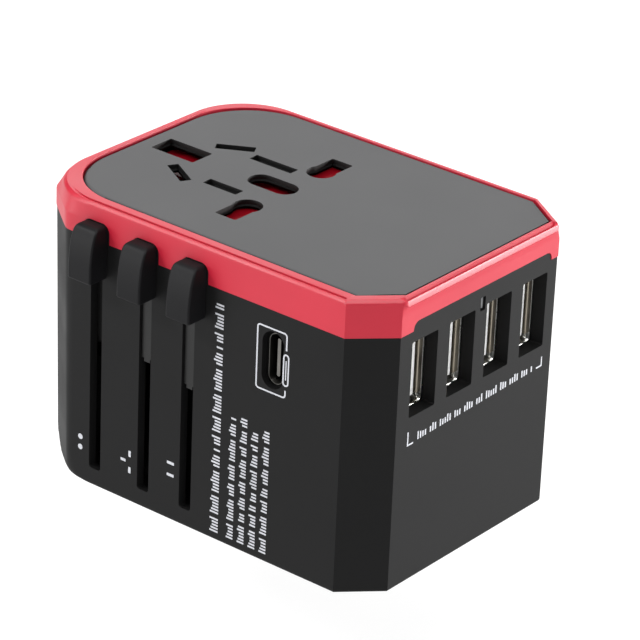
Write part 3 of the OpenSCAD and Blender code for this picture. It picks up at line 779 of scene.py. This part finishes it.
def trim_ring():
    rings = []
    for body, rim, inner, groove, lip, thin in trim_stations():
        ring = []

        def put(point, z):
            ring.append((point.x, point.y, z))

        put(inner(0.25), RIM_UNDER)
        put(inner(0.25), H - 0.16)
        put(inner(0.29), H - 0.04)
        put(inner(0.38), H)
        for d, dz in rim_profile(groove, lip, thin):
            share = min(1.0, max(0.0, (H + dz - LEAN_Z) / (H - 0.3 - LEAN_Z)))
            put(body(d).lerp(rim(d), share), H + dz)
        put(body(0.0).lerp(rim(0.0), 0.05), LEAN_Z + 0.25)
        put(body(0.0), LEAN_Z - 0.2)
        put(body(0.0), BAND_Z + 0.16)
        put(body(0.05), BAND_Z + 0.05)
        put(body(0.16), BAND_Z)
        put(body(BAND_T), BAND_Z)
        put(body(BAND_T), RIM_UNDER)
        rings.append(ring)
    ring = loft("trim", rings, closed=True)
    gap = 0.1
    panel = rounded(PANEL_Y[0] - gap, BAND_Z - 3, PANEL_Y[1] + gap, PANEL_TOP + gap, 0.3, 1.3)
    cutters = [prism("panel", panel, HX - 1.8, HX + 2, "x")]
    for x in KNOB_X:
        u0, u1 = x + PAD_X[0] - PAD_GAP, x + PAD_X[1] + PAD_GAP
        outline = rounded(u0, BAND_Z - 3, u1, KNOB_Z + KNOB_H + PAD_GAP, 0.3, 1.5)
        cutters.append(prism("notch", outline, -HY - 2, -HY + 1.8, "y"))
    cut(ring, cutters)
    smooth(ring, 32)
    weighted(ring, 100)
    return place(ring, "housing", ["trim_ring"], "red_plastic", RED)


# ---------------------------------------------------------------- face plate


BORDER_DROP = 0.36        # the plate's sloped border, black from painted shade: height and least width
BORDER_IN = 0.2


def plate_outline(grow, z):
    """Plan of the plate, grown outward, at a height."""
    (cx, cy), r = PLATE_ARC
    points = [plate_corner(*corner)(grow) for corner in ((-1, False), (1, False), (1, True))]
    points += arc(cx, cy, r + grow, 90, 180, 24) + arc(cx, -cy, r + grow, 180, 270, 24)
    return [(x, y, z) for x, y in points + [plate_corner(-1, True)(grow)]]


def keyhole(side):
    """Slot for a rectangular pin that runs into a round hole."""
    r, hole_y = 2.5, 9.3
    half, corner, outer = 2.15, 0.3, 14.9
    a = math.degrees(math.acos(half / r))
    points = arc(0, hole_y, r, 180 - a, 360 + a, 22)
    points += arc(half - corner, outer - corner, corner, 0, 90, 4)
    points += arc(-half + corner, outer - corner, corner, 90, 180, 4)
    return [(LIVE_X + u, SOCKET_Y + side * v) for u, v in points]


def socket_outlines():
    """Outlines of the socket's openings, each first measured from the live line and the middle."""
    def at(points):
        return [(LIVE_X + u, SOCKET_Y + v) for u, v in points]

    earth = rounded(-EARTH_PITCH - 4.55, -2.5, -EARTH_PITCH + 4.55, 2.5, 0.3)
    round_earth = arc(-0.05, 0, 2.3, -90, 90, 16) + arc(-4.95, 0, 2.3, 90, 270, 16)
    flat_a = rounded(-12.1, 5.35, -3.3, 7.35, 0.15)
    flat_b = rounded(-11.25, -7.35, -4.25, -5.35, 0.15)
    bar = rounded(-3.35, -0.97, 3.35, 0.97, 0.15)
    slanted = [turned(bar, -16.55, side * 7.05, side * 30) for side in (1, -1)]
    others = (earth, round_earth, flat_a, flat_b, *slanted)
    return [keyhole(1), keyhole(-1)] + [at(points) for points in others]


def face_plate():
    top = PLATE_HI.z
    rings = [plate_outline(0.0, PLATE_LO.z), plate_outline(0.0, top - BORDER_DROP)]
    # The border is wider towards the sliders' side and end
    rings.append([
        (x + 0.35 * max(0.0, -x / 33.8), y + 0.4 * max(0.0, -y / 23.65), z)
        for x, y, z in plate_outline(-BORDER_IN, top)
    ])
    plate = loft("plate", rings)
    cut(plate, [prism("hole", p, PLATE_LO.z - 1, PLATE_HI.z + 1) for p in socket_outlines()])
    flatten(plate)
    ease_edges(plate, 0.05, angle=60)
    return place(plate, "housing", ["face_plate"], "grey_plastic", GREY)


# ---------------------------------------------------------------- knobs


# Height above the knob's foot, distance out from the body, and how much each side pulls in
KNOB_PROFILE = (
    (0.0, 3.80, 0.15), (0.07, 3.97, 0.06), (0.22, 4.05, 0.0), (0.45, 4.07, 0.0),
    (2.7, 4.05, 0.0), (4.4, 3.88, 0.0), (6.3, 3.60, 0.0), (7.6, 3.20, 0.0),
    (8.2, 2.93, 0.02), (8.6, 2.68, 0.10), (8.86, 2.45, 0.24), (9.02, 2.22, 0.40),
    (9.12, 1.92, 0.60), (9.17, 1.5, 0.80), (9.18, 0.6, 0.92),
)
KNOB_ROUND = 0.38


def knob(name, x, body, node):
    """A finger knob: a flat face that leans back towards its top, with crisp upright edges."""
    r = KNOB_ROUND
    rings = []
    turns = [math.radians(v) for v in range(0, 91, 15)]
    for z, out, narrow in KNOB_PROFILE:
        half = KNOB_W / 2 - narrow
        front, back = -HY - out, -HY - 0.12
        outline = [(x + half, back), (x + half, back - 0.2)]
        outline += [(x + half - r + r * math.cos(a), front + r - r * math.sin(a)) for a in turns]
        outline += [(x - half + r - r * math.sin(a), front + r - r * math.cos(a)) for a in turns]
        outline += [(x - half, back - 0.2), (x - half, back)]
        rings.append([(u, v, KNOB_Z + z) for u, v in outline])
    piece = loft(name, rings)
    smooth(piece, 50)
    weighted(piece, 50)
    return place(piece, body, [node], "knob_plastic", KNOB)


def slot_stem(name, x, body):
    """The neck that joins a knob to its carrier through the slot."""
    outline = rounded(x - 1.05, KNOB_Z + 1.2, x + 1.05, 42.7, 0.2)
    stem = prism(name, outline, -HY - 0.4, -HY + 2, "y")
    ease_edges(stem, 0.08)
    return place(stem, body, [], "knob_plastic", KNOB)


# ---------------------------------------------------------------- ports


def port_y(i):
    return USB_Y + (i - 1.5) * USB_PITCH


def usb_a(i):
    """A plated shell with a flared mouth and a spring tab, and a tongue with four contacts."""
    y = port_y(i)
    mouth = PORT_X

    def outline(half, tall, r):
        return rounded(y - half, USB_Z - tall, y + half, USB_Z + tall, r)

    shell = tube(f"usb_a_shell_piece_{i + 1}", [
        (outline(2.85, 6.5, 0.5), SHELL_BACK_X), (outline(2.85, 6.5, 0.5), mouth - 1.0),
        (outline(3.0, 6.62, 0.5), mouth - 0.45), (outline(3.22, 6.54, 0.5), mouth - 0.3),
        (outline(3.22, 6.54, 0.5), mouth - 0.08), (outline(3.12, 6.48, 0.45), mouth),
        (outline(2.9, 6.34, 0.4), mouth - 0.05), (outline(2.62, 6.22, 0.35), mouth - 0.5),
        (outline(2.56, 6.2, 0.3), mouth - 1.0), (outline(2.56, 6.2, 0.3), SHELL_BACK_X),
    ], "x")
    smooth(shell, 40)
    place(shell, "housing", [f"usb_a_shell_{i + 1}"], "bright_steel", STEEL)

    # Across the port, and depth behind the mouth
    tab_outline = (
        (1.78, 0.55), (1.72, 0.3), (1.8, 0.1), (2.0, 0.05), (2.9, 0.05),
        (2.9, 2.0), (2.35, 2.4), (2.35, 8), (2.2, 8), (2.2, 2.2),
    )
    rings = [[(mouth - depth, y + v, USB_Z + z) for v, depth in tab_outline] for z in (-4.9, 5.3)]
    tab = loft(f"usb_a_tab_{i + 1}", rings)
    ease_edges(tab, 0.06)
    place(tab, "housing", [], "bright_steel", TAB)

    bar = rounded(y - 0.85, USB_Z - 4.9, y + 1.0, USB_Z + 5.6, 0.25)
    tongue = prism(f"usb_a_tongue_piece_{i + 1}", bar, 21.5, mouth - 0.1, "x")
    ease_edges(tongue, 0.16)
    place(tongue, "housing", [f"usb_a_tongue_{i + 1}"], "tongue_grey", TONGUE)

    strips = []
    for z in (-3.5, -1.0, 1.0, 3.5):
        strip = rounded(y - 0.9, USB_Z + z - 0.5, y - 0.84, USB_Z + z + 0.5, 0.02, steps=2)
        strips.append(prism("strip", strip, 24.5, mouth - 1.2, "x"))
    contacts = merged(f"usb_a_contacts_{i + 1}", strips)
    place(contacts, "housing", [], "contact_brass", BRASS)


def usb_c():
    """A seamless oval shell with a thin rim, a tongue in the middle and a collar round it."""
    def oval(r, half=USBC_STRAIGHT):
        lo, hi = USBC_Z - half - r, USBC_Z + half + r
        return rounded(USBC_X - r, lo, USBC_X + r, hi, r - 0.001, steps=10)

    mouth = -HY + 1.0
    shell = tube("usb_c_shell_piece", [
        (oval(1.58), -17.5), (oval(1.58), mouth + 0.06), (oval(1.5), mouth),
        (oval(1.44), mouth), (oval(1.36), mouth + 0.1), (oval(1.34), -17.5),
    ], "y")
    smooth(shell, 40)
    place(shell, "housing", ["usb_c_shell"], "bright_steel", SHADED_METAL)

    lip = tube("usb_c_lip", [
        (oval(1.5), mouth + 0.02), (oval(1.5), mouth - 0.06),
        (oval(1.42), mouth - 0.06), (oval(1.42), mouth + 0.02),
    ], "y")
    smooth(lip, 40)
    place(lip, "housing", [], "bright_steel", DARK_METAL)

    bar = rounded(USBC_X - 0.35, USBC_Z - 3.3, USBC_X + 0.35, USBC_Z + 3.3, 0.3)
    tongue = prism("usb_c_tongue_piece", bar, mouth + 0.5, -18, "y")
    ease_edges(tongue, 0.08)
    place(tongue, "housing", ["usb_c_tongue"], "tongue_grey", DARK_METAL)

    collar = tube("usb_c_collar", [
        (oval(2.3, 2.75), -HY + 2.4), (oval(2.3, 2.75), -HY + 1.3),
        (oval(1.6), -HY + 1.3), (oval(1.6), -HY + 2.4),
    ], "y")
    smooth(collar, 40)
    place(collar, "housing", [], "black_plastic", INNER_BLACK)


def light_pipe():
    pipe = prism("light_pipe_piece", rounded(0.75, 42.35, 1.22, 44.45, 0.12), 30, HX - 0.55, "x")
    ease_edges(pipe, 0.06)
    place(pipe, "housing", ["status_light_pipe"], "light_pipe", PIPE)


# ---------------------------------------------------------------- printed marks

INK = 0.03                # thickness of the print
LINE = 0.27               # width of a printed line
TICK_HEIGHTS = (1.0, 0.72, 0.72, 0.86)


def on_side(outline):
    """Print on the sliders' side, from an outline in X and Z."""
    return prism("ink", outline, -HY + BODY_IN - INK, -HY + BODY_IN + 0.02, "y")


def on_end(outline):
    """Print on the USB end, from an outline in Y and Z."""
    return prism("ink", outline, HX - BODY_IN - 0.02, HX - BODY_IN + INK, "x")


def stroke(points, width):
    """Outline of a band of even width along an open line."""
    left, right = [], []
    for i, point in enumerate(points):
        p = Vector(point)
        before = (p - Vector(points[i - 1])).normalized() if i else None
        after = (Vector(points[i + 1]) - p).normalized() if i + 1 < len(points) else None
        along = ((before or after) + (after or before)).normalized()
        normal = Vector((-along.y, along.x))
        grow = width / 2 / max(0.5, normal.dot(Vector((-(after or before).y, (after or before).x))))
        left.append(tuple(p + normal * grow))
        right.append(tuple(p - normal * grow))
    return left + right[::-1]


def tick_row(start, along, across, length, height, groups, pitch=0.56, width=0.3):
    """Outlines of a row of short ticks in groups, like the marks of a gauge."""
    start, along, across = Vector(start), Vector(along), Vector(across)
    outlines, s, i = [], 0.0, 0
    while s < length:
        for _ in range(groups[i % len(groups)]):
            if s > length:
                break
            tall = height * TICK_HEIGHTS[(len(outlines) * 7 + i) % len(TICK_HEIGHTS)]
            a = start + along * s
            b = a + along * width
            outlines.append([tuple(p) for p in (a, b, b + across * tall, a + across * tall)])
            s += pitch
        s += pitch * 1.1
        i += 1
    return outlines


def printed_marks():
    ink = []
    # Frame round the USB-C port, open where a small port symbol stands
    x0, z0, x1, z1, r = 12.65, 30.7, 18.55, 41.75, 0.5
    line = [(x1, 38.9)] + arc(x1 - r, z1 - r, r, 0, 90, 5) + arc(x0 + r, z1 - r, r, 90, 180, 5)
    line += arc(x0 + r, z0 + r, r, 180, 270, 5) + arc(x1 - r, z0 + r, r, 270, 360, 5) + [(x1, 32.0)]
    ink.append(on_side(stroke(line, LINE)))
    symbol = rounded(x1 - 0.62, 32.7, x1 + 0.62, 38.3, 0.619, steps=8)
    inner = rounded(x1 - 0.36, 32.96, x1 + 0.36, 38.04, 0.359, steps=8)
    ink.append(cut(on_side(symbol), [prism("ink", inner, -HY - 1, -HY + 1, "y")]))
    ink.append(on_side(rounded(x1 - 0.1, 33.8, x1 + 0.1, 37.2, 0.09)))

    # Pin pictures beside the slots: two round pins, three square pins, two blades
    for z in (6.4, 8.3):
        ink.append(on_side(arc(-24.4, z, 0.5, 0, 352, 15)))
    for x, z, w, t in ((-13.5, 6.0, 0.5, 1.1), (-13.5, 9.0, 0.5, 1.1), (-14.9, 7.5, 1.1, 0.5)):
        ink.append(on_side(rounded(x - w / 2, z - t / 2, x + w / 2, z + t / 2, 0.08)))
    for z in (8.4, 10.6):
        ink.append(on_side(rounded(-5.4, z - 0.25, -3.9, z + 0.25, 0.08)))

    # Plain rows of ticks where the photograph has printed lines
    rows = (
        (5.7, 41.0, 1.75, (5, 6, 7, 4, 1, 3)), (8.85, 22.0, 1.4, (5, 7, 4)),
        (11.15, 22.4, 1.4, (6, 3, 4, 4)), (13.45, 20.8, 1.4, (6, 4, 2, 3)),
        (15.75, 22.4, 1.4, (5, 6, 4, 3)),
    )
    for x, length, height, groups in rows:
        for outline in tick_row((x, 1.6), (0, 1), (-1, 0), length, height, groups):
            ink.append(on_side(outline))
    # The row on the USB end rises a little towards its far end
    along, across = (0.9996, 0.026), (-0.026, 0.9996)
    end_row = tick_row((-14.7, 25.25), along, across, 30.0, 1.4, (4, 3, 5, 3), 0.62, 0.32)
    ink += [on_end(outline) for outline in end_row]
    for bracket in (
        [(-17.2, 27.4), (-17.2, 25.1), (-15.8, 25.1)],
        [(17.9, 27.8), (17.9, 26.2), (16.5, 26.2)],
    ):
        ink.append(on_end(stroke(bracket, LINE)))
    marks = merged("printed_marks", ink)
    place(marks, "housing", [], "grey_plastic", PRINT)


# ---------------------------------------------------------------- build

housing()
slot_shade_rib()
trim_ring()
face_plate()
for label, x, slot_x in zip(("eu", "uk", "us"), KNOB_X, SLOT_X):
    knob(label + "_finger_knob", x, label + "_plug", label + "_knob")
    slot_stem(label + "_knob_stem", slot_x, label + "_plug")
for i in range(4):
    usb_a(i)
usb_c()
light_pipe()
printed_marks()

# CAD nodes that keep their shape, with their edges eased by a width in millimetres
EASED = [
    ("base_cover", "housing", "black_plastic", BLACK, 0.15),
    ("socket_cover", "housing", "black_plastic", INNER_BLACK, 0.0),
    ("contact_block", "housing", "black_plastic", INNER_BLACK, 0.0),
    ("line_shutter", "line_shutter_slider", "shutter_red", CRIMSON, 0.08),
    ("earth_shutter", "earth_shutter_slider", "shutter_red", CRIMSON, 0.08),
    ("eu_carrier", "eu_plug", "black_plastic", INNER_BLACK, 0.12),
    ("uk_carrier", "uk_plug", "black_plastic", RAIL, 0.12),
    ("us_carrier", "us_plug", "black_plastic", RAIL, 0.12),
    ("us_blade_a", "us_blade_a_swivel", "plated_pin", PIN, 0.12),
    ("us_blade_b", "us_blade_b_swivel", "plated_pin", PIN, 0.12),
    ("uk_pins", "uk_plug", "pin_brass", BRASS, 0.2),
    ("uk_pin_sleeves", "uk_plug", "black_plastic", BLACK, 0.1),
    ("eu_pins", "eu_plug", "plated_pin", DIMMED_PIN_METAL, 0.15),
    ("eu_pin_sleeves", "eu_plug", "black_plastic", BLACK, 0.06),
    ("base_screws", "housing", "bright_steel", STEEL, 0.08),
    ("screw_posts", "housing", "black_plastic", INNER_BLACK, 0.15),
    ("live_contact", "housing", "contact_brass", CONTACT, 0.05),
    ("neutral_contact", "housing", "contact_brass", CONTACT, 0.05),
    ("earth_contact", "housing", "contact_brass", CONTACT, 0.05),
    ("detent_springs", "housing", "bright_steel", STEEL, 0.05),
    ("usb_board", "housing", "board_green", BOARD, 0.06),
    ("transformer", "housing", "winding_tape", TAPE, 0.3),
    ("capacitors", "housing", "capacitor_can", CAN, 0.3),
    ("fuse", "housing", "fuse_ceramic", CERAMIC, 0.3),
    ("fuse_clips", "housing", "contact_brass", BRASS, 0.06),
    ("power_leads", "housing", "lead_red", LEAD, 0.0),
]
for node, body, slot, material, width in EASED:
    softened(node, body, slot, material, width)

# Each spring, its joint and that joint's travel in millimetres; the far end of a spring is fixed.
# Here each spring only gets eased edges and a mesh of its own.
SPRINGS = (
    ("line_shutter_spring", "line_shutter_slide", 5.6),
    ("earth_shutter_spring", "earth_shutter_slide", 10.0),
)
for node, joint, travel in SPRINGS:
    lo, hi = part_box(node)
    spring = softened(node, "housing", "bright_steel", STEEL, 0.04)
    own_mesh(spring)

# Materials for the CAD nodes that no piece stands for, by the record's slots
FINISHES = {
    "black_plastic": INNER_BLACK, "contact_brass": BRASS, "bright_steel": STEEL, "plated_pin": PIN,
    "pin_brass": BRASS, "board_green": BOARD, "winding_tape": TAPE, "capacitor_can": CAN,
    "light_pipe": PIPE, "fuse_ceramic": CERAMIC, "lead_red": LEAD, "tongue_grey": TONGUE,
    "knob_plastic": KNOB, "red_plastic": RED, "shutter_red": CRIMSON, "grey_plastic": GREY,
}
slots = {s["node"]: s["material_slot"] for s in frame["record"]["subparts"]}
for name, obj in frame["nodes"].items():
    if not obj.hide_render:
        obj.data.materials.clear()
        obj.data.materials.append(FINISHES[slots[name]])

# ---------------------------------------------------------------- stage, lights and camera


def stage():
    """A pale paper floor that glows a little, so that it stays as white as the backdrop."""
    half = 3.0
    corners = [(-half, -half, 0), (half, -half, 0), (half, half, 0), (-half, half, 0)]
    mesh = bpy.data.meshes.new("floor")
    mesh.from_pydata(corners, [], [(0, 1, 2, 3)])
    floor = link(bpy.data.objects.new("floor", mesh))
    n = Nodes("floor_paper")
    greys = [(NOISE_LOW, (0.24, 0.24, 0.24)), (NOISE_HIGH, (0.25, 0.25, 0.25))]
    n.feed("Base Color", n.ramp(n.noise(40, 2), greys))
    n.set("Roughness", 0.9)
    n.set("Emission Color", (1, 1, 1, 1))
    n.set("Emission Strength", 0.84)
    mesh.materials.append(n.material)
    floor.location.z = FLOOR_Z * MM
    floor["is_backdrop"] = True


def softbox(name, at, size, power, fill=True, sheen=True, aim_z=0.03):
    """A rectangular lamp that lights surfaces evenly (fill), in reflections (sheen), or both."""
    light = bpy.data.lights.new(name, "AREA")
    light.shape = "RECTANGLE"
    light.size, light.size_y = size
    light.energy = power
    obj = link(bpy.data.objects.new(name, light))
    obj.location = at
    obj.rotation_mode = "QUATERNION"
    obj.rotation_quaternion = (Vector((0, 0, aim_z)) - Vector(at)).to_track_quat("-Z", "Y")
    obj.visible_diffuse = fill
    obj.visible_glossy = sheen


def world(colour, strength):
    scene_world = bpy.data.worlds.new("studio")
    scene_world.use_nodes = True
    back = scene_world.node_tree.nodes["Background"]
    back.inputs["Color"].default_value = (*colour, 1)
    back.inputs["Strength"].default_value = strength
    bpy.context.scene.world = scene_world


CAMERA_AT = (332.1, -416.4, 289.5)
CAMERA_AIM = (-2.23, 7.89, 25.0)
CAMERA_ROLL = 2.44        # degrees
CAMERA_LENS = 203.4       # on a 36 mm sensor


def camera():
    data = bpy.data.cameras.new("camera")
    data.sensor_width = 36
    data.lens = CAMERA_LENS
    data.clip_start, data.clip_end = 0.01, 20
    cam = link(bpy.data.objects.new("camera", data))
    at, aim = Vector(CAMERA_AT) * MM, Vector(CAMERA_AIM) * MM
    turn = (aim - at).to_track_quat("-Z", "Y").to_matrix().to_4x4()
    roll = Matrix.Rotation(math.radians(CAMERA_ROLL), 4, "Z")
    cam.matrix_world = Matrix.Translation(at) @ turn @ roll
    bpy.context.scene.camera = cam


stage()
world((1.0, 1.0, 1.0), 0.10)
LEFT_LOW, LEFT_HIGH, RIGHT_LOW = (-0.70, -0.88, 0.15), (-0.72, -0.74, 0.85), (0.68, 0.88, 0.16)
softbox("left_low", LEFT_LOW, (0.7, 0.28), 3)
softbox("left_sheen", LEFT_LOW, (0.7, 0.28), 7, fill=False)
softbox("left_high", LEFT_HIGH, (0.48, 0.27), 8)
softbox("left_high_sheen", LEFT_HIGH, (0.40, 0.20), 6, fill=False)
softbox("front_fill", (0.78, -0.78, 0.45), (0.8, 0.5), 3.5, sheen=False)
softbox("right_low", RIGHT_LOW, (0.7, 0.30), 15)
softbox("right_sheen", RIGHT_LOW, (0.7, 0.30), 22, fill=False)
softbox("top_sheen", (0.45, -0.28, 1.05), (0.4, 0.4), 7, fill=False)
softbox("backdrop", (-0.75, 0.95, 0.55), (1.1, 0.6), 6, aim_z=0.04)
softbox("top", (-0.05, 0.10, 1.2), (1.3, 1.3), 13)
camera()
bpy.context.scene.view_settings.view_transform = "Standard"

lo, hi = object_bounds()
